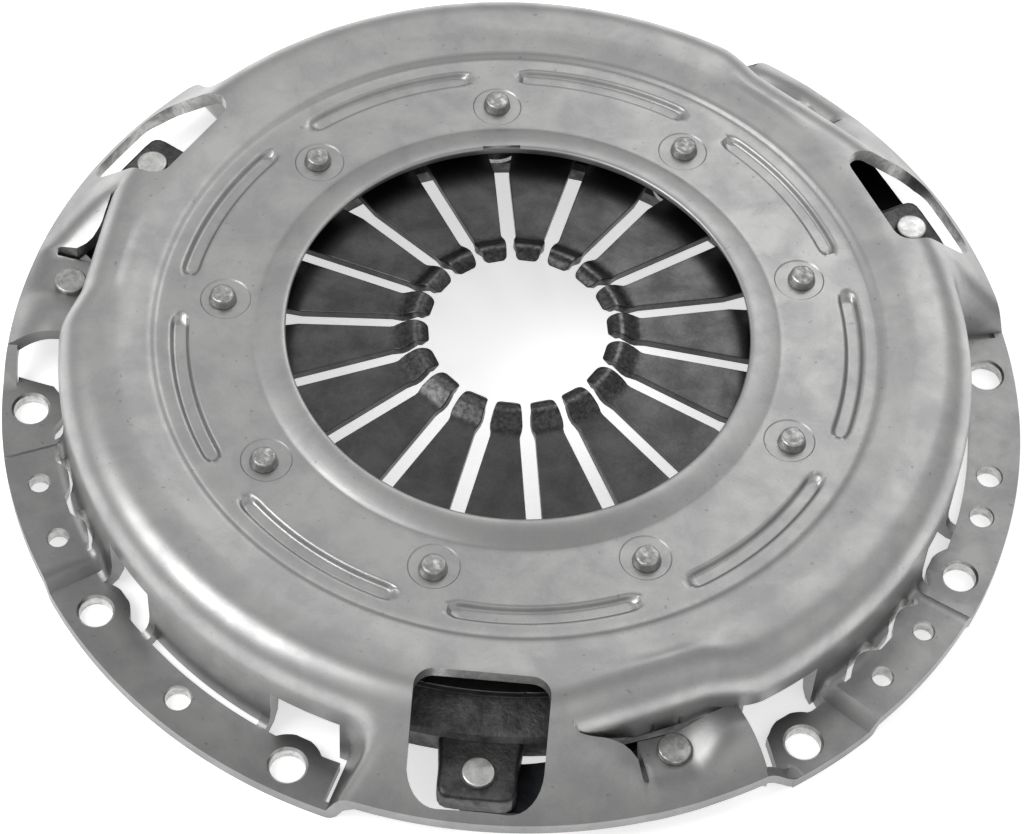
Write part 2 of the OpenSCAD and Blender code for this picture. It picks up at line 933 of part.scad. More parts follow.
// Rivet with a low round head above the stack and a flat head below it
module strap_rivet(turn, a, stack_low, stack_high) {
    head_half = strap_head_d / 2;
    color([0.6, 0.6, 0.58])
        rotate(turn)
            at_polar(strap_circle_r, a)
                rotate_extrude()
                    polygon([
                        [0, stack_low - strap_tail_h],
                        [head_half - 0.5, stack_low - strap_tail_h],
                        [head_half, stack_low - strap_tail_h + 0.6],
                        [head_half, stack_low],
                        [strap_rivet_d / 2, stack_low],
                        [strap_rivet_d / 2, stack_high],
                        [head_half, stack_high],
                        [head_half, stack_high + strap_head_h * 0.4],
                        [head_half - 0.5, stack_high + strap_head_h * 0.75],
                        [head_half - 1.5, stack_high + strap_head_h * 0.95],
                        [head_half - 2.4, stack_high + strap_head_h],
                        [0, stack_high + strap_head_h]
                    ]);
}

module cover_strap_rivet(turn) {
    strap_rivet(turn, pad_rivet_a, pad_low_h - pack_t, pad_h);
}

module plate_strap_rivet(turn) {
    strap_rivet(turn, lug_a, lug_low_h - pack_t, lug_top_h);
}

cover();
pressure_plate();
diaphragm_spring();
upper_fulcrum_ring();
lower_fulcrum_ring();
fulcrum_rivets();
strap_leaf(SECTOR_A, 1);  // strap_a_leaf_1
strap_leaf(SECTOR_A, 2);  // strap_a_leaf_2
strap_leaf(SECTOR_A, 3);  // strap_a_leaf_3
strap_leaf(SECTOR_B, 1);  // strap_b_leaf_1
strap_leaf(SECTOR_B, 2);  // strap_b_leaf_2
strap_leaf(SECTOR_B, 3);  // strap_b_leaf_3
strap_leaf(SECTOR_C, 1);  // strap_c_leaf_1
strap_leaf(SECTOR_C, 2);  // strap_c_leaf_2
strap_leaf(SECTOR_C, 3);  // strap_c_leaf_3
cover_strap_rivet(SECTOR_A);  // cover_strap_rivet_a
cover_strap_rivet(SECTOR_B);  // cover_strap_rivet_b
cover_strap_rivet(SECTOR_C);  // cover_strap_rivet_c
plate_strap_rivet(SECTOR_A);  // plate_strap_rivet_a
plate_strap_rivet(SECTOR_B);  // plate_strap_rivet_b
plate_strap_rivet(SECTOR_C);  // plate_strap_rivet_c
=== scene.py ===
import math

import bmesh
import bpy
from mathutils import Matrix, Vector, noise


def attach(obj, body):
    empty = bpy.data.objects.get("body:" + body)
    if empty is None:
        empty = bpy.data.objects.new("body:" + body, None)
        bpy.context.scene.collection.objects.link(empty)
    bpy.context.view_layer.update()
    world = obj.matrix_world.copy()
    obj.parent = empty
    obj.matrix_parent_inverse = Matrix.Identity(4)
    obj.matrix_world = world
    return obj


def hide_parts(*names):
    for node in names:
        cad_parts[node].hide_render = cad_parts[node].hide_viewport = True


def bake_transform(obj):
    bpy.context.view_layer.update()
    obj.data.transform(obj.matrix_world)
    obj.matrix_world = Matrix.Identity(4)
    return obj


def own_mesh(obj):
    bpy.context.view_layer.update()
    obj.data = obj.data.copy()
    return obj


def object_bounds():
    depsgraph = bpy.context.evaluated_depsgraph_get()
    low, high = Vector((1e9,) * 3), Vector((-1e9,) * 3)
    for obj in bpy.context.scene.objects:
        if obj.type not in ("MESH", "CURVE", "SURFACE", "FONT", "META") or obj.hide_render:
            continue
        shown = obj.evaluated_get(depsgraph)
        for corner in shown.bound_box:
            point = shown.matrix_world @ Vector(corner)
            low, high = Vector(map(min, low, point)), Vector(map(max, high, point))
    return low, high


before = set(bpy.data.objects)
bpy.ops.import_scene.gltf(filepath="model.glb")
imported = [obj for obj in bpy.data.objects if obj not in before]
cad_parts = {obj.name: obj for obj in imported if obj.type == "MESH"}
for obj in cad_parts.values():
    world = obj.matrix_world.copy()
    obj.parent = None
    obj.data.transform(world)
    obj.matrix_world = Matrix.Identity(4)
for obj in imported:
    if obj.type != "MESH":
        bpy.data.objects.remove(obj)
cad_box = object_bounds()

# The camera stands where the photograph was taken from: above and in front of the part and a
# little to its left, with a long lens, tilted a few degrees.
CAMERA_PLACE = (-0.06506, -0.49079, 0.67939)
CAMERA_AZIMUTH = math.radians(-7.553)
CAMERA_ELEVATION = math.radians(54.241)
CAMERA_TILT = math.radians(4.085)
camera = bpy.data.objects.new("camera", bpy.data.cameras.new("camera"))
bpy.context.scene.collection.objects.link(camera)
bpy.context.scene.camera = camera
camera.data.sensor_width = 36
camera.data.lens = 110.87
camera.data.clip_start = 0.05
camera.matrix_world = (
    Matrix.Translation(CAMERA_PLACE)
    @ Matrix.Rotation(CAMERA_AZIMUTH, 4, "Z")
    @ Matrix.Rotation(math.pi / 2 - CAMERA_ELEVATION, 4, "X")
    @ Matrix.Rotation(CAMERA_TILT, 4, "Z")
)

# Cover
# The cover is one pressing of 3.6 mm steel sheet, galvanised, with a satin grey skin that
# handling has clouded. Shapes are drawn in millimetres and brought to metres at the end.
MM = 0.001
SECTORS = {"a": 60, "b": 180, "c": 300}
SHEET = 3.6
# The sheet is bent from a grid with a column every so many degrees. The angles below count from
# the first bolt hole of a sector, which starts a little before it.
COLUMN = 0.75
SECTOR_START = -6.75
# The crown: a raised lip round the opening, the flat seat, with close rows where the ribs lie,
# and a low step up to the crown, each as radius and height.
SEAT_Z = 30.8
CROWN_ROWS = [(60, 32.0), (60.1, 32.3), (60.4, 32.5), (60.9, 32.6), (61.6, 32.6), (62.6, 32.5),
              (64, 32.2), (65.5, 31.82), (66.8, 31.42), (67.4, 31.2), (67.9, 31), (68.3, 30.87),
              (68.8, 30.81)]
CROWN_ROWS += [(r, SEAT_Z) for r in (69.8, 71.5, 74, 77, 80, 82.5, 84, 84.6, 84.9, 85.2, 85.5, 85.8, 86.2,
                                     86.7, 87.2, 87.7, 88.2, 88.6, 88.9, 89.2, 89.5, 89.8, 90.4, 91.5, 92.8)]
CROWN_ROWS += [(93.4, 30.88), (93.9, 31.1), (94.5, 31.5), (95.1, 31.74), (96, 31.88), (98, 32.1),
               (100, 32.4), (102.3, 32.76), (104, 32.95)]
RIBS = 9
RIB_START = 30
RIB_R = 87.2
RIB_HALF_SPAN = 14
RIB_HALF_WIDTH = 2.6
RIB_SIDE = 1.2
RIB_DEPTH = 1.5
# The shoulder and the wall, with two flats, given as distance and direction, that set the wall
# back beside each pad.
BEND_R = 10
BEND_Z = 23
WALL_R = 118.7
WALL_FLATS = ((114.7, 106), (110.3, 93.4))
FLATS_SPAN = (90, 118)
# The flange, with its raised stretch: where each ramp starts and how long it is, in degrees.
FLANGE_R = 134.8
FLANGE_INNER = 121.4
HOLE_CIRCLE = 127.2
RAISE = 3.7
RAMP_UP = (5.9, 1.5)
RAMP_DOWN = (25.7, 1.4)
RAMP_SLANT = 0.08
# The bridge: a cone from the shoulder down to a raised rim.
BRIDGE_SLOPE = 1.0748
BRIDGE_BEND = 47.06
BRIDGE_START = 66
BRIDGE_END = 113.25
RIM_R = 133.9
RIM_Z = 10.6
END_LEAN = 18
END_BEND = 3.6
END_COLUMNS = 10
# The lance beside the pad: its edge as angle and radius, the facet that dips towards it, and
# the wall that hangs free behind it.
LANCE_START = 92.25
LANCE_EDGE = ((92.25, 116), (93, 117.75), (95, 117.7), (96, 117.6), (97, 117.8), (98.25, 118.7), (99, 120),
              (99.8, 122.7))
FACET_ANGLE = 97.2
FACET_R = 117.4
FACET_Z = 21
FACET_SLOPES = (0.22, 0.533)
FREE_EDGE = 15.5
FREE_EDGE_RISE = 8.5
FLAP_ROWS = 8
# The pad that the straps are riveted to, the slit before it and the bulge after it.
SLIT = (99.65, 100.45)
SLIT_IN = 115.75
SLIT_OUT = 127.6
PAD_Z = 14.3
PAD_AXIS = 107
PAD_RIVET_ANGLE = 104.3
STRAP_CIRCLE = 120.7
NOTCH_R = 7
NOTCH_TOP = 18.9
SET_BACK_R = 112.07
BULGE_R = 15
BULGE_AT = 9.5
BULGE_Z = 18.7
# The window over each lug, with the radius, side, bend and start angle of its four corners.
WINDOW_ANGLE = 81.2
WINDOW_HALF = 16.5
WINDOW_CORNERS = ((131.8, 1, 8, 90), (131.8, -1, 8, 0), (105, -1, 5, 270), (105, 1, 5, 180))
# Openings in the wall, as start, end and top, and slots between the wall and the flange.
OPENINGS = ((-6.2, 4.3, 18.5), (27, 35.6, 19), (55.5, 64.7, 17))
SLOTS = ((-6.2, 4.9), (27, 35.6), (36.8, 54.3), (55.5, 65.95))
WAVY_SLOT = (8.3, 23.2)
LOBE_R = 8.7
SMALL_LOBE_R = 7.7
# Holes in the flange, as angle, diameter and flare: bolt, dowel and tooling holes, then the
# small pair on the raised stretch and the one more beside a tooling hole.
HOLES = ((0, 9, 0.6), (60, 9, 0.6), (30, 8.5, 0.6), (45, 6.5, 0.35))
SMALL_HOLE_ANGLES = (12, 20)
SMALL_HOLE = 5.2
EXTRA_HOLE = (39, 6.1)
# Rings coined into the seat under the rivets' heads.
RIVETS = 9
FIRST_RIVET = 10
COIN_CIRCLE = 76.3
COIN_R = 6.75
COIN_DEPTH = 0.3
# Rows of the grid: the shoulder's turn in degrees, heights down the wall, the bend into the
# flange as distance out and height, and radii across the flange.
SHOULDER = [BRIDGE_BEND * i / 6 for i in range(7)]
WALL_ROWS = [20.5, 18, 15.5, 12.5, 9]
FOOT_ROWS = [(0.35, 6.2), (1.1, 4.6), (2.3, 3.75), (3.4, 3.6)]
FLANGE_ROWS = [124, 126, 128, 130, 132, 133.6, FLANGE_R]
BRIDGE_ROWS = 5 + len(WALL_ROWS) + len(FOOT_ROWS) + len(FLANGE_ROWS)


def linear(hex_colour):
    """An sRGB hex colour as the linear values that a shader takes."""
    values = [int(hex_colour[i:i + 2], 16) / 255 for i in (1, 3, 5)]
    return [v / 12.92 if v <= 0.04045 else ((v + 0.055) / 1.055) ** 2.4 for v in values] + [1]


def add(material, kind, settings, links=()):
    """Adds a node to a material, sets its sockets or properties, and links sockets to it."""
    node = material.node_tree.nodes.new(kind)
    for name, value in settings.items():
        if isinstance(name, int) or name in node.inputs:
            node.inputs[name].default_value = value
        else:
            setattr(node, name, value)
    for name, socket in dict(links).items():
        material.node_tree.links.new(socket, node.inputs[name])
    return node


def steel(name, dark, light, cloud_mm, grain_mm, shine, bump_mm):
    """Bare or galvanised steel: a colour that drifts between two greys in clouds, a roughness
    that drifts with it between the two values of shine, and a fine grain in relief."""
    material = bpy.data.materials.new(name)
    material.use_nodes = True
    surface = material.node_tree.nodes["Principled BSDF"]
    surface.inputs["Metallic"].default_value = 1
    place = add(material, "ShaderNodeTexCoord", {}).outputs["Object"]
    clouds = add(material, "ShaderNodeTexNoise",
                 {"Scale": 1 / (cloud_mm * MM), "Detail": 6, "Roughness": 0.62, "Distortion": 0.3},
                 {"Vector": place}).outputs["Fac"]
    grain = add(material, "ShaderNodeTexNoise",
                {"Scale": 1 / (grain_mm * MM), "Detail": 3, "Roughness": 0.6},
                {"Vector": place}).outputs["Fac"]
    spread = add(material, "ShaderNodeMapRange",
                 {"From Min": 0.36, "From Max": 0.64}, {"Value": clouds}).outputs[0]
    speckle = add(material, "ShaderNodeMapRange",
                  {"From Min": 0.3, "From Max": 0.7, "To Min": -0.18, "To Max": 0.18},
                  {"Value": grain}).outputs[0]
    share = add(material, "ShaderNodeMath", {"operation": "ADD", "use_clamp": True},
                {0: spread, 1: speckle}).outputs[0]
    colour = add(material, "ShaderNodeMix",
                 {"data_type": "RGBA", 6: linear(dark), 7: linear(light)},
                 {0: share}).outputs[2]
    roughness = add(material, "ShaderNodeMapRange",
                    {"To Min": shine[1], "To Max": shine[0]}, {"Value": share}).outputs[0]
    relief = add(material, "ShaderNodeBump", {"Strength": 0.5, "Distance": bump_mm * MM},
                 {"Height": grain}).outputs[0]
    material.node_tree.links.new(colour, surface.inputs["Base Color"])
    material.node_tree.links.new(roughness, surface.inputs["Roughness"])
    material.node_tree.links.new(relief, surface.inputs["Normal"])
    return material


def make_piece(name, shape, material, sharp_angle=35):
    """Turns a closed shape drawn in millimetres into a piece of the part, in metres."""
    bmesh.ops.remove_doubles(shape, verts=shape.verts, dist=0.0005)
    bmesh.ops.recalc_face_normals(shape, faces=shape.faces)
    bmesh.ops.scale(shape, vec=(MM, MM, MM), verts=shape.verts)
    mesh = bpy.data.meshes.new(name)
    shape.to_mesh(mesh)
    shape.free()
    mesh.shade_smooth()
    mesh.set_sharp_from_angle(angle=math.radians(sharp_angle))
    piece = bpy.data.objects.new(name, mesh)
    bpy.context.scene.collection.objects.link(piece)
    mesh.materials.append(material)
    return piece


# Galvanised pressed steel, satin: the zinc gives a soft, slightly cloudy grey sheen. The colour is
# darkened down the wall and on the flange as painted shade. The zinc's grain is about 0.1 mm and the
# specks of dirt about 0.5 mm: they are drawn at 0.5 mm and 1.6 mm, so that they show.
galvanised_steel = steel("galvanised_pressed_steel", "#a2a2a2", "#b2b2b1", 12, 0.5, (0.35, 0.41), 0.02)
place = add(galvanised_steel, "ShaderNodeTexCoord", {}).outputs["Object"]
height = add(galvanised_steel, "ShaderNodeSeparateXYZ", {}, {"Vector": place}).outputs["Z"]
# Painted shade: the colour is scaled down to 0.68 at 8 mm height and below, rising to full at 27 mm, so the
# wall and flange come out darker.
painted_shade_low_down = add(galvanised_steel, "ShaderNodeMapRange",
                {"From Min": 8 * MM, "From Max": 27 * MM, "To Min": 0.68, "To Max": 1},
                {"Value": height}).outputs[0]
specks = add(galvanised_steel, "ShaderNodeTexNoise", {"Scale": 1 / (1.6 * MM), "Detail": 1},
             {"Vector": place}).outputs["Fac"]
specks = add(galvanised_steel, "ShaderNodeMapRange",
             {"From Min": 0.73, "From Max": 0.79, "To Min": 1, "To Max": 0.75}, {"Value": specks}).outputs[0]
# The painted shade low down, times the dark specks of dirt, as a scale on the colour.
painted_shade_and_specks = add(galvanised_steel, "ShaderNodeMath", {"operation": "MULTIPLY"},
            {0: painted_shade_low_down, 1: specks}).outputs[0]
surface = galvanised_steel.node_tree.nodes["Principled BSDF"]
shaded = add(galvanised_steel, "ShaderNodeVectorMath", {"operation": "SCALE"},
             {0: surface.inputs["Base Color"].links[0].from_socket, "Scale": painted_shade_and_specks}).outputs[0]
galvanised_steel.node_tree.links.new(shaded, surface.inputs["Base Color"])


def radial(r, degrees, z=0):
    """The point at a radius, an angle and a height."""
    return Vector((r * math.cos(math.radians(degrees)), r * math.sin(math.radians(degrees)), z))


def ease(x):
    """A share that rises smoothly from 0 to 1."""
    x = min(max(x, 0), 1)
    return x * x * (3 - 2 * x)


def lower(a, b, blend):
    """The lower of two heights, with a rounded bend where they cross."""
    h = max(blend - abs(a - b), 0) / blend
    return min(a, b) - h * h * blend / 4


def wall_radius(a):
    """Outer radius of the wall, which is set back flat beside the pad."""
    if a < 0:
        a += 120
    if not FLATS_SPAN[0] < a < FLATS_SPAN[1]:
        return WALL_R
    back = max(reach / math.cos(math.radians(a - toward)) for reach, toward in WALL_FLATS)
    return lower(WALL_R, back, 1.2)


def shoulder_point(a, bend):
    """Point of the rounded shoulder where it has turned down by the angle bend."""
    r = wall_radius(a)
    rise = 0.3 * ease((WALL_R - r) / 3)
    return (r - BEND_R + BEND_R * math.sin(math.radians(bend)), a,
            BEND_Z + rise + BEND_R * math.cos(math.radians(bend)))


def rib_depth(r, true_angle):
    """Depth of the nine pressed ribs, 28 degrees long, with sloping sides and round ends."""
    step = 360 / RIBS
    off = (true_angle - RIB_START + step / 2) % step - step / 2
    past = max(abs(off) - RIB_HALF_SPAN, 0)
    away = math.hypot(r - RIB_R, math.radians(past) * RIB_R)
    return RIB_DEPTH * ease((RIB_HALF_WIDTH - away) / RIB_SIDE)


def crown_place(i, j):
    """The crown's top face and the upper half of the shoulder, all the way round."""
    true_angle = i * COLUMN
    a = (true_angle - SECTORS["a"] - SECTOR_START) % 120 + SECTOR_START
    if j < len(CROWN_ROWS):
        r, z = CROWN_ROWS[j]
        return radial(r, true_angle, z - rib_depth(r, true_angle))
    r, a, z = shoulder_point(a, SHOULDER[j - len(CROWN_ROWS)])
    return radial(r, true_angle, z)


def flange_rise(a):
    """The stretch of flange with the two small holes stands higher, with a short ramp each side."""
    return RAISE * ease((a - RAMP_UP[0]) / RAMP_UP[1]) * ease((RAMP_DOWN[0] - a) / RAMP_DOWN[1])


def slanted(r, a, z):
    """A point of the flange, turned a little so that the first ramp lies aslant."""
    return r, a + RAMP_SLANT * (r - HOLE_CIRCLE) * max(1 - abs(a - 6.5) / 5, 0), z


def foot_share(a):
    """How much of the bend at the wall's foot is there: none at the openings beside the holes."""
    share = 1
    for a0, a1, _ in OPENINGS:
        share *= 1 - ease((a - a0 - 0.3) / 1.2) * ease((a1 - 0.3 - a) / 1.2)
    return share


def wall_profile(a):
    """The wall and flange at angle a, from the shoulder's last shared row outwards."""
    points = [shoulder_point(a, BRIDGE_BEND + (90 - BRIDGE_BEND) * i / 5) for i in range(6)]
    r = wall_radius(a)
    rise = flange_rise(a)
    points += [(r, a, z + rise * ease((15.5 - z) / 9)) for z in WALL_ROWS]
    foot = foot_share(a)
    points += [slanted(WALL_R + out, a, SHEET + (z - SHEET) * foot + rise) for out, z in FOOT_ROWS]
    return points + [slanted(out, a, SHEET + rise) for out in FLANGE_ROWS]


def cone_z(r):
    """Height of the bridge's sloping face."""
    return RIM_Z + BRIDGE_SLOPE * (RIM_R - r)


def facet_z(r, a):
    """The flat facet that dips from the bridge towards the lanced edge."""
    out = r * math.cos(math.radians(a - FACET_ANGLE)) - FACET_R
    along = r * math.sin(math.radians(a - FACET_ANGLE))
    return FACET_Z - FACET_SLOPES[0] * out - FACET_SLOPES[1] * along


def pad_z(r, a):
    """The flat pad and the arched bulge beside it."""
    along = r * math.sin(math.radians(a - PAD_AXIS)) - BULGE_AT
    arch = BULGE_Z - BULGE_R + math.sqrt(max(BULGE_R ** 2 - along ** 2, 0))
    if along < 0:
        return -lower(-PAD_Z, -arch, 4)
    return max(arch, PAD_Z)


def dipped(z, r, a):
    """The bridge's face where it turns down into the facet, which starts softly at the lance."""
    return z + (lower(z, facet_z(r, a), 3.5) - z) * ease((a - 91) / 3.2)


def bridge_inner(a):
    """Radius of a bridge's inner edge: on the shoulder, then free along the lance, then the pad."""
    if a <= LANCE_START:
        return shoulder_point(a, BRIDGE_BEND)[0]
    if a > SLIT[1]:
        return 116
    for (a0, r0), (a1, r1) in zip(LANCE_EDGE, LANCE_EDGE[1:]):
        if a <= a1:
            return r0 + (r1 - r0) * (a - a0) / (a1 - a0)


def bridge_point(a, share):
    """Point of a bridge's outer surface, share of the way from its inner edge to its rim."""
    inner = bridge_inner(a)
    r = inner + (RIM_R - inner) * share
    z = cone_z(r)
    if a <= LANCE_START:
        z += (shoulder_point(a, BRIDGE_BEND)[2] - cone_z(inner)) * max(1 - 5 * share, 0)
    z = dipped(z, r, a) if a <= SLIT[1] else lower(z, pad_z(r, a), 6)
    return r, a, z


def closed_end_place(i, share, start):
    """The bridge's closed end: a leaning end wall that folds over into the sloping face."""
    wall = radial(*start)
    r, a, z = bridge_point(BRIDGE_START, share)
    crest_angle = BRIDGE_START + math.degrees(z * math.tan(math.radians(END_LEAN)) / r)
    crest = radial(r, crest_angle, z)
    reach = min(END_BEND, (crest - wall).length * 0.7)
    into = crest + (wall - crest).normalized() * reach if reach > 0.01 else crest
    onto_angle = crest_angle + math.degrees(END_BEND / r)
    if i <= 2:
        return wall.lerp(into, i / 2)
    if i <= 5:
        t = (i - 2) / 3
        onto = radial(r, onto_angle, z)
        return into * (1 - t) ** 2 + crest * 2 * t * (1 - t) + onto * t ** 2
    last = BRIDGE_START + END_COLUMNS * COLUMN
    return radial(r, onto_angle + (last - onto_angle) * (i - 5) / (END_COLUMNS - 5), z)


def wall_place(i, j):
    """The wall and the flange of one sector."""
    return radial(*wall_profile(SECTOR_START + i * COLUMN)[j])


def bridge_place(i, j):
    """The bridge of one sector, from its closed end to its pad and bulge."""
    a = BRIDGE_START + i * COLUMN
    if i == 0:
        return radial(*wall_profile(BRIDGE_START)[j])
    if j == 0 and a <= LANCE_START:
        return radial(*shoulder_point(a, BRIDGE_BEND))
    share = j / BRIDGE_ROWS
    if i < END_COLUMNS:
        return closed_end_place(i, share, wall_profile(BRIDGE_START)[j])
    return radial(*bridge_point(a, share))


def flap_place(i, j):
    """The wall that hangs behind the lance, from the shoulder down to its free edge."""
    a = LANCE_START + i * COLUMN
    if j <= 5:
        return radial(*shoulder_point(a, BRIDGE_BEND + (90 - BRIDGE_BEND) * j / 5))
    along = STRAP_CIRCLE * math.sin(math.radians(a - PAD_RIVET_ANGLE))
    low = min(FREE_EDGE + FREE_EDGE_RISE * max((-8.5 - along) / 17.1, 0), BEND_Z - 0.4)
    return radial(wall_radius(a), a, BEND_Z + (low - BEND_Z) * (j - 5) / (FLAP_ROWS - 5))


def patch(shape, columns, rows, place, turn=0, skip=None):
    """Adds a grid of columns by rows to a shape, each point moved to its place on the part."""
    part = bmesh.new()
    bmesh.ops.create_grid(part, x_segments=columns, y_segments=rows, size=1)
    spots = {v: (round((v.co.x + 1) / 2 * columns), round((v.co.y + 1) / 2 * rows)) for v in part.verts}
    if skip:
        gone = [f for f in part.faces
                if skip(min(spots[v][0] for v in f.verts), min(spots[v][1] for v in f.verts))]
        bmesh.ops.delete(part, geom=gone, context="FACES")
        spots = {v: spot for v, spot in spots.items() if v.is_valid}
    for vert, (i, j) in spots.items():
        vert.co = place(i, j)
    turn_about_axis(part, turn)
    take_in(shape, part)


def turn_about_axis(shape, degrees):
    """Turns a shape about the part's axis."""
    bmesh.ops.rotate(shape, verts=shape.verts, cent=(0, 0, 0),
                     matrix=Matrix.Rotation(math.radians(degrees), 3, "Z"))


def take_in(shape, part):
    """Adds one shape's mesh to another and frees it."""
    loose = bpy.data.meshes.new("part")
    part.to_mesh(loose)
    part.free()
    shape.from_mesh(loose)
    bpy.data.meshes.remove(loose)


def prism(outline, low, high, turn=0):
    """A closed block with an outline in plan, between two heights."""
    shape = bmesh.new()
    face = shape.faces.new([shape.verts.new((x, y, low)) for x, y in outline])
    grown = bmesh.ops.extrude_face_region(shape, geom=[face], use_keep_orig=True)
    high_verts = [v for v in grown["geom"] if isinstance(v, bmesh.types.BMVert)]
    bmesh.ops.translate(shape, verts=high_verts, vec=(0, 0, high - low))
    turn_about_axis(shape, turn)
    bmesh.ops.recalc_face_normals(shape, faces=shape.faces)
    return shape


def band(a0, a1, inner, outer, low, high, turn=0, step=0.5):
    """A closed block between two radii, which may each follow the angle."""
    steps = max(2, round(abs(a1 - a0) / step))
    angles = [a0 + (a1 - a0) * i / steps for i in range(steps + 1)]
    out = [radial(outer(a) if callable(outer) else outer, a).xy for a in angles]
    back = [radial(inner(a) if callable(inner) else inner, a).xy for a in reversed(angles)]
    return prism(out + back, low, high, turn)


def lobe_edge(a, centres, radius, limit):
    """Radius where the round lobes of metal at the holes begin, or the limit between them."""
    edge = limit
    for centre in centres:
        off = math.radians(a - centre)
        room = radius ** 2 - (HOLE_CIRCLE * math.sin(off)) ** 2
        if room > 0:
            edge = min(edge, HOLE_CIRCLE * math.cos(off) - math.sqrt(room))
    return edge


def drill(r, a, diameter, low, high, turn=0, flare=0.35):
    """A round cutter for a hole, with a small flare at its top that leaves a softened edge."""
    half = diameter / 2
    shape = spun([(0, low - 2), (half, low - 2), (half, high - flare), (half + flare + 0.1, high + 0.1),
                  (half + flare + 0.1, high + 1), (0, high + 1)], 48, radial(r, a))
    turn_about_axis(shape, turn)
    bmesh.ops.recalc_face_normals(shape, faces=shape.faces)
    return shape


def spun(profile, steps, place=(0, 0, 0)):
    """A closed shape turned from its profile, given as radius and height from axis to axis."""
    shape = bmesh.new()
    verts = [shape.verts.new((r, 0, z)) for r, z in profile]
    edges = [shape.edges.new(pair) for pair in zip(verts, verts[1:])]
    bmesh.ops.spin(shape, geom=verts + edges, cent=(0, 0, 0), axis=(0, 0, 1), dvec=(0, 0, 0),
                   angle=math.tau, steps=steps, use_merge=True)
    bmesh.ops.remove_doubles(shape, verts=shape.verts, dist=0.0005)
    bmesh.ops.translate(shape, verts=shape.verts, vec=place)
    return shape


def joined(base, cutters, mode, finish=0):
    """Adds other closed shapes to a shape, or cuts them out of it, and returns the result. Faces
    that a cutter leaves take the finish with that number."""
    objects = []
    for cutter in cutters:
        for face in cutter.faces:
            face.material_index = finish
    for shape in [base] + cutters:
        bmesh.ops.recalc_face_normals(shape, faces=shape.faces)
        mesh = bpy.data.meshes.new("work")
        shape.to_mesh(mesh)
        shape.free()
        objects.append(bpy.data.objects.new("work", mesh))
        bpy.context.scene.collection.objects.link(objects[-1])
    for other in objects[1:]:
        change = objects[0].modifiers.new("work", "BOOLEAN")
        change.object = other
        change.operation = mode
        change.solver = "MANIFOLD"
    done = objects[0].evaluated_get(bpy.context.evaluated_depsgraph_get())
    result = bmesh.new()
    result.from_mesh(done.to_mesh())
    done.to_mesh_clear()
    for work in objects:
        mesh = work.data
        bpy.data.objects.remove(work)
        bpy.data.meshes.remove(mesh)
    return result


# The outer face: the crown all round, then the wall with its flange, the bridge and the wall
# behind the lance in each sector. The flange's first corner is left out, because the bridge
# before it ends there.
skin = bmesh.new()
patch(skin, round(360 / COLUMN), len(CROWN_ROWS) + len(SHOULDER) - 1, crown_place)
for turn in SECTORS.values():
    patch(skin, round((BRIDGE_START - SECTOR_START) / COLUMN), BRIDGE_ROWS, wall_place, turn,
          skip=lambda i, j: (i < 1 and j >= 8) or (i < 2 and j >= 10))
    patch(skin, round((BRIDGE_END - BRIDGE_START) / COLUMN), BRIDGE_ROWS, bridge_place, turn)
    patch(skin, round((BRIDGE_END - LANCE_START) / COLUMN), FLAP_ROWS, flap_place, turn)
bmesh.ops.remove_doubles(skin, verts=skin.verts, dist=0.02)
bmesh.ops.recalc_face_normals(skin, faces=skin.faces)
if max(skin.faces, key=lambda f: f.calc_center_median().z).normal.z < 0:
    bmesh.ops.reverse_faces(skin, faces=skin.faces)
skin.normal_update()

# The sheet's inner face lies 3.6 mm inside the outer one. Edges that were sheared from above
# go straight down: those of the rims, the opening, the lanced edges and the pads.
depths = {}
for vert in skin.verts:
    inward = -vert.normal * SHEET * min(vert.calc_shell_factor(), 1.5)
    r = vert.co.xy.length
    a = (math.degrees(math.atan2(vert.co.y, vert.co.x)) - SECTORS["a"] + 6.76) % 120 - 6.76
    if vert.is_boundary and vert.normal.z > 0.35:
        inward = Vector((0, 0, -SHEET / max(vert.normal.z, 0.6)))
    if vert.is_boundary and BRIDGE_START + 3 < a and r > RIM_R - 0.05 and vert.co.z > RIM_Z - 0.3:
        inward = Vector((0, 0, -SHEET))
    depths[vert] = inward
outer_verts = list(skin.verts)
inner = bmesh.ops.extrude_face_region(skin, geom=skin.faces[:], use_keep_orig=True)
twins = {v.co.to_tuple(4): v for v in inner["geom"] if isinstance(v, bmesh.types.BMVert)}
for vert in outer_verts:
    twins[vert.co.to_tuple(4)].co += depths[vert]
bmesh.ops.recalc_face_normals(skin, faces=skin.faces)

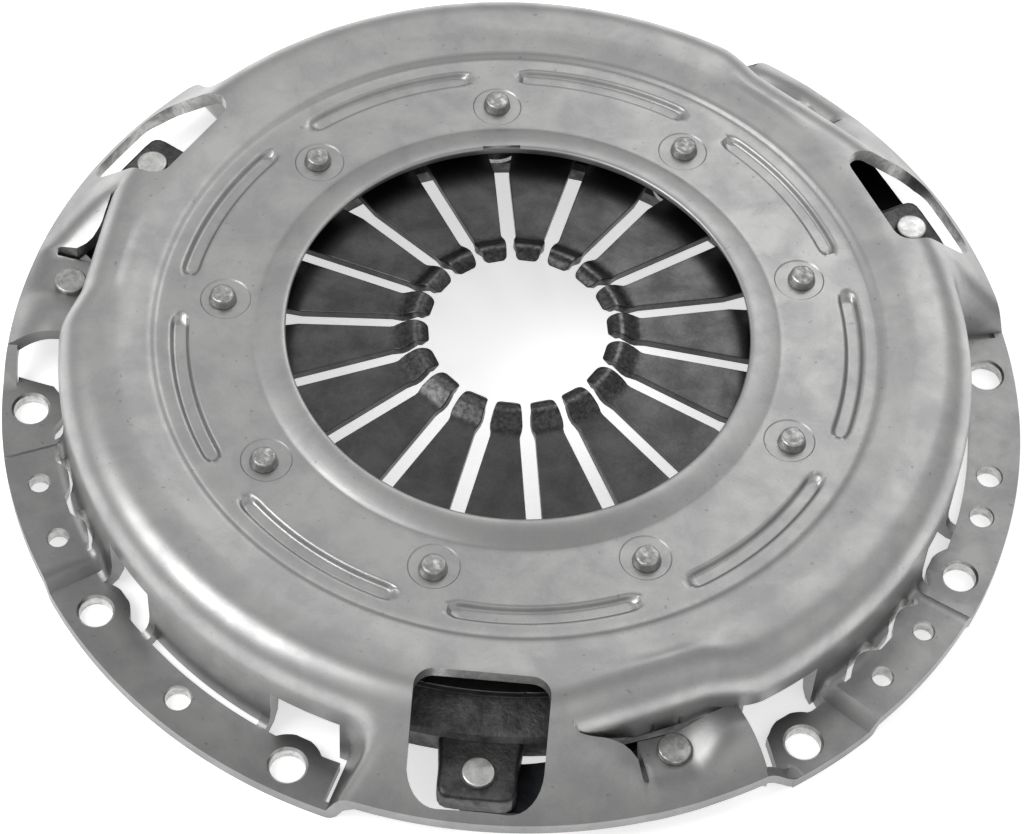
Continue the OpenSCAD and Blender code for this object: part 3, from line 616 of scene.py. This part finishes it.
# The flange's end is trimmed and joined to the bridge's rim by a short strip that climbs to it.
# What the press tool shapes keeps the cover's skin, and what it shears is left bare.
trims = []
links = []
pressed = [prism([(-5, 57), (5, 57), (5, 60.8), (-5, 60.8)], 20, 40)]
sheared = []
for turn in SECTORS.values():
    trims.append(band(-6.9, -3.6, 131, 140, -2, 12, turn))
    link = band(-7.5, -2.5, 131.3, lambda a: RIM_R - 0.04 + (FLANGE_R - RIM_R) * ease((a + 7.3) / 4),
                0, SHEET - 0.02, turn, 0.25)
    for vert in link.verts:
        a = (math.degrees(math.atan2(vert.co.y, vert.co.x)) - turn + 180) % 360 - 180
        vert.co.z += (RIM_Z - SHEET - 0.02) * ease((-2.9 - a) / 4)
    links.append(link)

    # The window over the lug, with round corners.
    window = []
    for out, side, bend, start in WINDOW_CORNERS:
        centre = (out - bend if out > 110 else out + bend, side * (WINDOW_HALF - bend))
        for step in range(9):
            turned = math.radians(start - step * 90 / 8)
            window.append((centre[0] + bend * math.cos(turned), centre[1] + bend * math.sin(turned)))
    sheared.append(prism(window, -2, 40, turn + WINDOW_ANGLE))

    # Openings in the wall, and slots that free the flange between its lobes.
    for a0, a1, top in OPENINGS:
        pressed.append(band(a0, a1, 106, WALL_R + 0.05, -2, top, turn))
        pressed.append(band(a0, a1, WALL_R - 0.5, FLANGE_INNER, SHEET + 0.03, top, turn))
    for a0, a1 in SLOTS:
        pressed.append(band(a0, a1, WALL_R + 0.03, lambda a: lobe_edge(a, (0, 30, 60), LOBE_R, FLANGE_INNER),
                            -2, 12, turn))
    pressed.append(band(-5.6, -2.6, 117, lambda a: min(117 - 15.6 * (a + 2.6) / 2.2, 131.2), -2, 4.5, turn))
    pressed.append(band(65.3, 65.95, 120, 132.5, -2, 6, turn))
    sheared.append(band(*WAVY_SLOT, lambda a: max(WALL_R + 0.15, lobe_edge(a, SMALL_HOLE_ANGLES, 9, 120.6)),
                        lambda a: lobe_edge(a, SMALL_HOLE_ANGLES, SMALL_LOBE_R, 121.9), -2, 14, turn))

    # The slit beside the pad: a narrow cut, and the pad's edge rolled over towards it.
    for a0, a1, end, low, high, lean in ((SLIT[0], SLIT[0] + 0.25, SLIT_OUT, 4, 24, 0),
                                         (SLIT[0] + 0.04, SLIT[1], SLIT_OUT - 0.2, 12.9, 17, 1)):
        corners = ((SLIT_IN, a1), (SLIT_IN, a0), (end - 0.7, a0),
                   (end, a0 + 0.1), (end, a1 - 0.1), (end - 0.7, a1))
        slit = prism([radial(r, a).xy for r, a in corners], low, high, turn)
        for vert in slit.verts:
            a = (math.degrees(math.atan2(vert.co.y, vert.co.x)) - turn) % 360
            if a > (SLIT[0] + a1) / 2:
                vert.co += radial(1, turn + a + 90) * lean * (vert.co.z - PAD_Z)
        sheared.append(slit)

    # The round notch that lets the riveting tool reach the pad, and the wall's inner side beside
    # the pad, which is set back to clear the plate when it is lifted.
    notch = [radial(110.5, PAD_RIVET_ANGLE + 0.6 * i).xy for i in range(-4, 5)]
    rivet_place = radial(STRAP_CIRCLE, PAD_RIVET_ANGLE)
    notch += [(rivet_place + radial(NOTCH_R, PAD_RIVET_ANGLE + t)).xy for t in range(225, 134, -9)]
    pressed.append(prism(notch, 12, NOTCH_TOP, turn))
    pressed.append(band(100.95, 112.4, 104, SET_BACK_R, 8, 18.6, turn))

    for a, diameter, flare in HOLES:
        sheared.append(drill(HOLE_CIRCLE, a, diameter, 0, SHEET, turn, flare))
    for a in SMALL_HOLE_ANGLES:
        sheared.append(drill(HOLE_CIRCLE, a, SMALL_HOLE, 0, SHEET + RAISE, turn))
sheared.append(drill(HOLE_CIRCLE, *EXTRA_HOLE, 0, SHEET, SECTORS["c"]))
for i in range(RIVETS):
    coin = [(0, SEAT_Z - COIN_DEPTH), (COIN_R - 0.45, SEAT_Z - COIN_DEPTH), (COIN_R, SEAT_Z + 0.1),
            (COIN_R, SEAT_Z + 1.2), (0, SEAT_Z + 1.2)]
    pressed.append(spun(coin, 48, radial(COIN_CIRCLE, FIRST_RIVET + 360 / RIVETS * i)))
cover_shape = joined(joined(skin, trims, "DIFFERENCE"), links, "UNION")
cover_shape = joined(joined(cover_shape, pressed, "DIFFERENCE"), sheared, "DIFFERENCE", 1)
cover = make_piece("pressed_cover", cover_shape, galvanised_steel, 40)
# Sheared steel: the punched edges are bare, brighter than the zinc and mottled by the punch.
# The punch's marks are about 0.1 mm wide and are drawn at 0.3 mm.
cover.data.materials.append(steel("sheared_steel_edge", "#a4a4a3", "#cfcfcd", 2.5, 0.3, (0.3, 0.42), 0.03))
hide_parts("cover")
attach(cover, "cover")

# Diaphragm spring
# The spring is a hardened, shot-peened disc of dark steel, 2.5 mm thick, stamped into 18
# fingers whose tips are bent up into crowned pads. It is held at the rivets by two rings.
SPRING_T = 2.5
SPRING_TOP = 23.14
SPRING_SLOPE = 0.12
SPRING_R = 103
FULCRUM_R = 82.53
FINGERS = 18
FINGER_STEP = 360 / FINGERS
# The tips' ends, the middle and the foot of their crowned pads, and the crown's height.
TIP_R = 23.2
CROWN_R = 26.7
CROWN_END = 32.3
TIP_CROWN = 2.25
TIP_DROP = 0.88
TIP_CORNER_R = 1.1
# The slots between the fingers end in round holes, wide and narrow in turn.
SLOT_END_R = 76
SLOT_HALF = 2
TIP_SLOT_HALF = 1.15
WIDE_END = (5.4, 57)
NARROW_END = (3.5, 71.5)


def spring_height(r, x):
    """Top of the spring: a straight cone, with a rounded crown across each finger's tip."""
    height = SPRING_TOP + SPRING_SLOPE * (FULCRUM_R - r)
    if x >= CROWN_R:
        along = min((x - CROWN_R) / (CROWN_END - CROWN_R), 1)
        return height + TIP_CROWN * (1 + math.cos(math.pi * along)) / 2
    return height + TIP_CROWN * (1 - TIP_DROP * ((CROWN_R - x) / (CROWN_R - TIP_R)) ** 2)


def slot_side(wide):
    """One side of a slot, as distance along the slot and half its width, out to its round end."""
    end, neck = WIDE_END if wide else NARROW_END
    side = [(TIP_R, TIP_SLOT_HALF), (30.4, TIP_SLOT_HALF), (31.4, 1.4), (32.2, 1.8), (33.2, SLOT_HALF),
            (neck, SLOT_HALF)]
    side += [(neck + (SLOT_END_R - neck) * i / 3, SLOT_HALF + (end - SLOT_HALF) * i / 3) for i in (1, 2)]
    side += [(SLOT_END_R + end * math.sin(math.radians(a)), end * math.cos(math.radians(a)))
             for a in range(0, 90, 10)]
    return side + [(SLOT_END_R + end, 0)]


def finger_plan(wide_on_left):
    """Outline of one finger and its share of the outer band, its axis along +X."""
    half = FINGER_STEP / 2
    left = [radial(1, half) * u + radial(1, half - 90) * h for u, h in slot_side(wide_on_left)]
    right = [radial(1, -half) * u + radial(1, 90 - half) * h for u, h in slot_side(not wide_on_left)]
    rim = [radial(SPRING_R, a / 2) for a in range(-20, 21)]
    return right + rim + left[::-1]


spring_shape = bmesh.new()
for finger in range(FINGERS):
    part = bmesh.new()
    corners = [part.verts.new(point) for point in finger_plan(finger % 2 == 1)]
    part.faces.new(corners)
    bmesh.ops.bevel(part, geom=[corners[0], corners[-1]], offset=TIP_CORNER_R, affect="VERTICES",
                    segments=5, profile=0.5, material=-1)
    # Close cuts across the pad and sparse ones behind it let the flat blank take the crown.
    for x in [TIP_R + 0.4 + 0.55 * i for i in range(17)] + [33.8, 37] + list(range(42, 103, 4)):
        bmesh.ops.bisect_plane(part, geom=part.verts[:] + part.edges[:] + part.faces[:],
                               plane_co=(x, 0, 0), plane_no=(1, 0, 0), dist=0.2)
    for a in (-5.6, -2.8, 0, 2.8, 5.6):
        bmesh.ops.bisect_plane(part, geom=part.verts[:] + part.edges[:] + part.faces[:],
                               plane_co=(0, 0, 0), plane_no=radial(1, a + 90), dist=0.15)
    for vert in part.verts:
        vert.co.z = spring_height(vert.co.xy.length, vert.co.x)
    turn_about_axis(part, FINGER_STEP * (finger + 1))
    take_in(spring_shape, part)
bmesh.ops.remove_doubles(spring_shape, verts=spring_shape.verts, dist=0.03)

# Hardened spring steel, shot-peened and oiled: dark grey, with a dull sheen and fine dimples.
# The tips are tempered darker, and a bright, blotchy line along their crowns is partly wear from
# the release bearing and partly a painted highlight. Peening dimples are about 0.3 mm wide and are drawn at
# 0.55 mm.
peened_steel = steel("peened_spring_steel", "#4c4c4d", "#606061", 9, 0.55, (0.3, 0.38), 0.03)
place = add(peened_steel, "ShaderNodeTexCoord", {}).outputs["Object"]
flat = add(peened_steel, "ShaderNodeVectorMath", {"operation": "MULTIPLY", 1: (1, 1, 0)},
           {0: place}).outputs[0]
from_axis = add(peened_steel, "ShaderNodeVectorMath", {"operation": "LENGTH"}, {0: flat}).outputs["Value"]
scale_spots = add(peened_steel, "ShaderNodeTexNoise", {"Scale": 1 / (1.1 * MM), "Detail": 3},
                  {"Vector": place}).outputs["Fac"]
tempered = add(peened_steel, "ShaderNodeMapRange",
               {"From Min": 31 * MM, "From Max": 33.5 * MM, "To Min": 0.62, "To Max": 1},
               {"Value": from_axis}).outputs[0]
# Painted highlight, with the bearing's real wear: a bright, blotchy line along the crest of each tip's crown.
off_ridge = add(peened_steel, "ShaderNodeMath", {"operation": "SUBTRACT", 1: (CROWN_R + 0.2) * MM},
                {0: from_axis}).outputs[0]
off_ridge = add(peened_steel, "ShaderNodeMath", {"operation": "ABSOLUTE"}, {0: off_ridge}).outputs[0]
bearing_wear_and_highlight = add(peened_steel, "ShaderNodeMapRange",
            {"From Min": 0.2 * MM, "From Max": 0.75 * MM, "To Min": 1.5, "To Max": 0},
            {"Value": off_ridge}).outputs[0]
bearing_wear_and_highlight = add(peened_steel, "ShaderNodeMath", {"operation": "MULTIPLY"}, {0: bearing_wear_and_highlight, 1: scale_spots}).outputs[0]
blotches = add(peened_steel, "ShaderNodeMapRange",
               {"From Min": 0.35, "From Max": 0.65, "To Min": -0.2, "To Max": 0.25},
               {"Value": scale_spots}).outputs[0]
at_tip = add(peened_steel, "ShaderNodeMapRange",
             {"From Min": 31 * MM, "From Max": 34 * MM, "To Min": 1, "To Max": 0.15},
             {"Value": from_axis}).outputs[0]
blotches = add(peened_steel, "ShaderNodeMath", {"operation": "MULTIPLY"}, {0: blotches, 1: at_tip}).outputs[0]
tone = add(peened_steel, "ShaderNodeMath", {"operation": "ADD"}, {0: tempered, 1: bearing_wear_and_highlight}).outputs[0]
tone = add(peened_steel, "ShaderNodeMath", {"operation": "ADD"}, {0: tone, 1: blotches}).outputs[0]
surface = peened_steel.node_tree.nodes["Principled BSDF"]
toned = add(peened_steel, "ShaderNodeVectorMath", {"operation": "SCALE"},
            {0: surface.inputs["Base Color"].links[0].from_socket, "Scale": tone}).outputs[0]
peened_steel.node_tree.links.new(toned, surface.inputs["Base Color"])

spring = make_piece("spring_fingers", spring_shape, peened_steel)
if sum(polygon.normal.z for polygon in spring.data.polygons) < 0:
    spring.data.flip_normals()
thicken = spring.modifiers.new("sheet", "SOLIDIFY")
thicken.thickness = SPRING_T * MM
thicken.offset = -1
soften = spring.modifiers.new("stamped_edges", "BEVEL")
soften.width = 0.3 * MM
soften.segments = 2
soften.limit_method = "ANGLE"
soften.angle_limit = math.radians(60)
soften.use_clamp_overlap = False
soften.harden_normals = True
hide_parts("diaphragm_spring")
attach(spring, "cover")
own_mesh(spring)

# Fulcrum rings
# Two closed rings of drawn spring wire, 4 mm thick, lie above and below the spring as the
# fulcrum that it tilts about. They keep their CAD shape.
# Drawn spring wire: smooth and grey, with faint marks of the die.
drawn_wire = steel("drawn_spring_wire", "#5c5d60", "#787a7d", 6, 0.3, (0.25, 0.35), 0.01)
for node in ("upper_fulcrum_ring", "lower_fulcrum_ring"):
    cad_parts[node].data.materials.clear()
    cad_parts[node].data.materials.append(drawn_wire)

# Fulcrum rivets
# Nine stepped rivets of mild steel hold the rings and the spring to the cover. Each has a pan
# head that the riveting tool left rough and bright, on a ring coined into the seat.
RIVET_CIRCLE = 77
SHANK_FOOT = 14.53
HEAD_LOW = SEAT_Z - COIN_DEPTH
HEAD_H = 2.6
HEAD_HALF = 3.65


def pan_head(half, low, high, bend, rows=5, taper=0):
    """Profile of a head from its underside at radius half over a rounded edge to the axis."""
    top = half - taper
    edge = [(top - bend + bend * math.cos(math.radians(a)), high - bend + bend * math.sin(math.radians(a)))
            for a in range(0, 91, 18)]
    flat = [((top - bend) * (1 - i / rows), high + 0.12 * math.sin(i / rows * math.pi / 2))
            for i in range(1, rows + 1)]
    return [(half - 0.25, low), (half, low + 0.25)] + edge + flat


def hammered(shape, low, depth, size):
    """Gives everything above low the small dents that a riveting tool leaves."""
    for vert in shape.verts:
        if vert.co.z > low:
            vert.co.z += depth * noise.noise(vert.co / size)
            vert.co += 0.5 * depth * noise.noise_vector(vert.co / size + Vector((9, 4, 2)))


rivets_shape = bmesh.new()
foot = [(0, SHANK_FOOT), (7, SHANK_FOOT), (7.5, SHANK_FOOT + 0.5), (7.5, SHANK_FOOT + 2),
        (3.5, SHANK_FOOT + 2), (3.5, 27.2), (2.8, 27.2), (2.8, HEAD_LOW)]
head = pan_head(HEAD_HALF, HEAD_LOW, HEAD_LOW + HEAD_H, 0.8, 7, 0.45)
for i in range(RIVETS):
    rivet = spun(foot + head, 36, radial(RIVET_CIRCLE, FIRST_RIVET + 360 / RIVETS * i))
    hammered(rivet, HEAD_LOW + 1, 0.22, 1.5)
    take_in(rivets_shape, rivet)
# Mild steel, upset cold: a little brighter than the cover, with a rough, sparkling top. Its
# grain, about 0.1 mm, is drawn at 0.35 mm.
upset_steel = steel("upset_rivet_steel", "#8f8f8e", "#bcbcba", 2.2, 0.35, (0.3, 0.45), 0.05)
rivets = make_piece("fulcrum_rivet_set", rivets_shape, upset_steel, 40)
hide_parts("fulcrum_rivets")
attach(rivets, "cover")

# Pressure plate
# The plate is a grey iron casting with a machined friction face below, a ridge above that the
# spring presses on, and three lugs that stand under the windows.
LUG_TOP = 11.2
LUG_T = 6
LUG_ANGLE = 81.5
LUG_EDGE_R = 1.3
# Half of a lug's outline, as distance out and half width, and the ring's section, as radius and
# height, from the bore outwards over the ridge and back.
LUG_HALF = [(104, 10.4), (111.6, 10.4), (118, 9.8), (123.6, 9.8), (125.4, 9.5), (126.6, 8.7),
            (127.2, 7.4), (127.4, 5)]
PLATE_SECTION = [(74.5, 5), (111.6, 5), (111.6, 11.2), (110.6, 12.6), (107.6, 13.8), (101.6, 15.9),
                 (100.9, 17.6), (100.2, 18.45), (97.8, 18.45), (97.1, 17.6), (96.4, 15.9),
                 (92.5, 14.3), (86.5, 10.4), (84.5, 10.1), (76, 10.1), (74.5, 9.1)]


def lug(turn):
    """One cast lug, with straight sides and its top edges rounded."""
    shape = bmesh.new()
    outline = LUG_HALF + [(x, -y) for x, y in reversed(LUG_HALF)]
    face = shape.faces.new([shape.verts.new((x, y, LUG_TOP)) for x, y in outline])
    rim_edges = list(face.edges)
    grown = bmesh.ops.extrude_face_region(shape, geom=[face])
    low = [v for v in grown["geom"] if isinstance(v, bmesh.types.BMVert)]
    bmesh.ops.translate(shape, verts=low, vec=(0, 0, -LUG_T))
    bmesh.ops.bevel(shape, geom=rim_edges, offset=LUG_EDGE_R, affect="EDGES", segments=4,
                    profile=0.5, material=-1)
    turn_about_axis(shape, turn + LUG_ANGLE)
    return shape


plate_ring = bmesh.new()
section = [plate_ring.verts.new((r, 0, z)) for r, z in PLATE_SECTION]
section_edges = [plate_ring.edges.new(pair) for pair in zip(section, section[1:] + section[:1])]
bmesh.ops.spin(plate_ring, geom=section + section_edges, cent=(0, 0, 0), axis=(0, 0, 1), dvec=(0, 0, 0),
               angle=math.tau, steps=180, use_merge=True)
plate_shape = joined(plate_ring, [lug(turn) for turn in SECTORS.values()], "UNION")
# Grey cast iron: near black and rough, with a coarse sand-cast skin. The sand's grain, about
# 0.4 mm, is drawn at 1.1 mm.
cast_iron = steel("sand_cast_iron", "#4a4a4b", "#686868", 5, 1.1, (0.42, 0.58), 0.35)
plate = make_piece("cast_plate", plate_shape, cast_iron, 30)
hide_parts("pressure_plate")
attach(plate, "plate")

# Straps
# Three packs of three spring-steel leaves, 0.8 mm each, tie the plate's lugs to the cover's
# pads. They are stamped, bent and riveted, and they flex when the plate lifts.
LEAF_T = 0.8
LEAF_W = 13.6
LEAF_GAP = 0.01
PAD_LOW = 10.7
LUG_LOW = 5.2
STRAP_MIDDLE = (PAD_RIVET_ANGLE + LUG_ANGLE) / 2
STRAP_HALF = STRAP_CIRCLE * math.sin(math.radians(PAD_RIVET_ANGLE - STRAP_MIDDLE))
# Blued spring steel, rolled: dark, with a cold tint and a soft sheen. Its colours are set near
# black, darker than the steel itself, as painted shade for the cover's shadow over the straps.
blued_steel_with_painted_shade = steel("blued_strap_steel_and_shade", "#232427", "#323336", 8, 0.4, (0.32, 0.42), 0.015)


def leaf_height(along):
    """Top of a pack of leaves: flat under the lug, then a gentle rise to the pad."""
    share = (along + STRAP_HALF - 12) / (2 * STRAP_HALF - 20.8)
    share = 0.65 * min(max(share, 0), 1) + 0.35 * ease(share)
    return LUG_LOW + (PAD_LOW - LUG_LOW) * share


def leaf(turn, number):
    """One strap leaf: a band that follows the strap circle, with round ends."""
    shape = bmesh.new()
    half = LEAF_W / 2
    ends = [radial(STRAP_CIRCLE, a) for a in (LUG_ANGLE, PAD_RIVET_ANGLE)]
    steps = [LUG_ANGLE + (PAD_RIVET_ANGLE - LUG_ANGLE) * i / 10 for i in range(11)]
    outline = [radial(STRAP_CIRCLE + half, a) for a in steps]
    outline += [ends[1] + radial(half, PAD_RIVET_ANGLE + a) for a in range(15, 180, 15)]
    outline += [radial(STRAP_CIRCLE - half, a) for a in reversed(steps)]
    outline += [ends[0] + radial(half, LUG_ANGLE + 180 + a) for a in range(15, 180, 15)]
    bmesh.ops.recalc_face_normals(shape, faces=[shape.faces.new([shape.verts.new(p) for p in outline])])
    along = radial(1, STRAP_MIDDLE + 90)
    for i in range(-13, 14):
        bmesh.ops.bisect_plane(shape, geom=shape.verts[:] + shape.edges[:] + shape.faces[:],
                               plane_co=along * (i * 2.3), plane_no=along, dist=0.0001)
    for vert in shape.verts:
        vert.co.z = leaf_height(vert.co.dot(along)) - LEAF_T * (number - 1) - LEAF_GAP
    grown = bmesh.ops.extrude_face_region(shape, geom=shape.faces[:], use_keep_orig=True)
    low = [v for v in grown["geom"] if isinstance(v, bmesh.types.BMVert)]
    bmesh.ops.translate(shape, verts=low, vec=(0, 0, 2 * LEAF_GAP - LEAF_T))
    turn_about_axis(shape, turn)
    return shape


for letter, turn in SECTORS.items():
    for number in (1, 2, 3):
        strap = make_piece(f"strap_{letter}_{number}", leaf(turn, number), blued_steel_with_painted_shade)
        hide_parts(f"strap_{letter}_leaf_{number}")
        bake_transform(strap)

# Strap rivets
# Six mild-steel rivets with flat-topped heads, three through the cover's pads and three
# through the plate's lugs, each with the strap pack closed under its lower head.
STRAP_HEAD_HALF = 4.2
STRAP_HEAD_H = 1.9
PACK_T = 3 * LEAF_T


def strap_rivet(low, high):
    """Profile of a strap rivet whose heads clamp what lies between low and high."""
    foot = [(0, low - 1.6), (3.1, low - 1.6), (3.9, low - 1), (3.9, low), (3, low), (3, high)]
    return foot + pan_head(STRAP_HEAD_HALF, high, high + STRAP_HEAD_H, 0.6, 6)


# Zinc-plated steel, flattened by the riveting tool: pale and bright on its flat top. Its
# grain, about 0.1 mm, is drawn at 0.35 mm.
plated_steel = steel("zinc_plated_rivet_steel", "#bdbdbb", "#dcdcda", 2.6, 0.35, (0.3, 0.4), 0.03)
for letter, turn in SECTORS.items():
    for piece_name, node, angle, low, high, body, finish in (
        ("pad_rivet", "cover_strap_rivet", PAD_RIVET_ANGLE, PAD_LOW - PACK_T, PAD_Z, "cover", upset_steel),
        ("lug_rivet", "plate_strap_rivet", LUG_ANGLE, LUG_LOW - PACK_T, LUG_TOP, "plate", plated_steel),
    ):
        shape = spun(strap_rivet(low, high), 36, radial(STRAP_CIRCLE, turn + angle))
        hammered(shape, high + 1, 0.06, 1.9)
        rivet = make_piece(f"{piece_name}_{letter}", shape, finish, 40)
        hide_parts(f"{node}_{letter}")
        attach(rivet, body)

# Stage
# A plain near-white floor and soft studio light: a big window-like light on the left, a
# weaker one behind, and a pale surround that is darker low down and overhead.
FLOOR_HALF = 3000
# Height of the view's direction, from level to straight up, and how bright the surround is there.
SURROUND = ((0.4, 0.6), (0.7, 0.85), (0.85, 0.8), (0.93, 0.5))
SURROUND_LEVEL = 0.5
SURROUND_TOP = 0.3
# Place, width and power of the lights, in metres and watts.
LIGHTS = {"left_window": ((-0.8, -0.15, 0.95), 0.7, 6), "back_light": ((0.45, 0.75, 0.9), 0.6, 1.3)}
floor_shape = bmesh.new()
bmesh.ops.create_grid(floor_shape, x_segments=1, y_segments=1, size=FLOOR_HALF)
# White paper, lit evenly: near white and dull, with a little light of its own against shadows.
paper = bpy.data.materials.new("white_paper")
paper.use_nodes = True
surface = paper.node_tree.nodes["Principled BSDF"]
surface.inputs["Base Color"].default_value = linear("#f4f4f4")
surface.inputs["Roughness"].default_value = 0.8
surface.inputs["Emission Color"].default_value = linear("#ffffff")
surface.inputs["Emission Strength"].default_value = 0.6
floor = make_piece("floor", floor_shape, paper)
floor.data.transform(Matrix.Translation((0, 0, cad_box[0].z)))
if floor.data.polygons[0].normal.z < 0:
    floor.data.flip_normals()

world = bpy.data.worlds.new("pale_surround")
bpy.context.scene.world = world
world.use_nodes = True
sky = world.node_tree
split = sky.nodes.new("ShaderNodeSeparateXYZ")
sky.links.new(sky.nodes.new("ShaderNodeTexCoord").outputs["Generated"], split.inputs[0])
ramp = sky.nodes.new("ShaderNodeValToRGB")
sky.links.new(split.outputs["Z"], ramp.inputs["Fac"])
sky.links.new(ramp.outputs["Color"], sky.nodes["Background"].inputs["Color"])
ramp.color_ramp.elements[0].color = (SURROUND_LEVEL, SURROUND_LEVEL, SURROUND_LEVEL, 1)
ramp.color_ramp.elements[1].color = (SURROUND_TOP, SURROUND_TOP, SURROUND_TOP, 1)
for place, glow in SURROUND:
    ramp.color_ramp.elements.new(place).color = (glow, glow, glow, 1)
bpy.context.scene.view_settings.view_transform = "Standard"

for name, (place, size, power) in LIGHTS.items():
    lamp = bpy.data.lights.new(name, "AREA")
    lamp.size = size
    lamp.energy = power
    light = bpy.data.objects.new(name, lamp)
    bpy.context.scene.collection.objects.link(light)
    light.location = place
    light.rotation_euler = (-Vector(place)).to_track_quat("-Z", "Y").to_euler()
